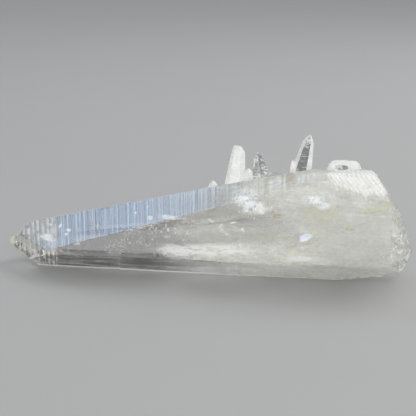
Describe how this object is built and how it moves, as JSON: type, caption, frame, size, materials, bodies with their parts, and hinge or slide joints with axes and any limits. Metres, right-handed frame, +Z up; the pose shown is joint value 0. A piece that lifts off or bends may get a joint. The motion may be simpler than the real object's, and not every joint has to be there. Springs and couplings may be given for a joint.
{
  "type": "quartz cluster",
  "caption": "Clear quartz cluster: a long tapering crystal lying on its side, with small crystals grown on its upper slope and a rough broken root.",
  "frame": {"origin": "centre of the bounding box in X and Y, on the surface the cluster rests on", "axes": "+X from the point towards the broken root, along the crystal; -Y towards the front, where the clear side faces show; +Z up"},
  "size_m": [0.1638, 0.047, 0.0561],
  "materials": {
    "clear_quartz": "clear at the point, milky towards the root, striated across the length"
  },
  "bodies": {
    "root": {"quartz_cluster": "clear_quartz"}
  },
  "joints": []
}
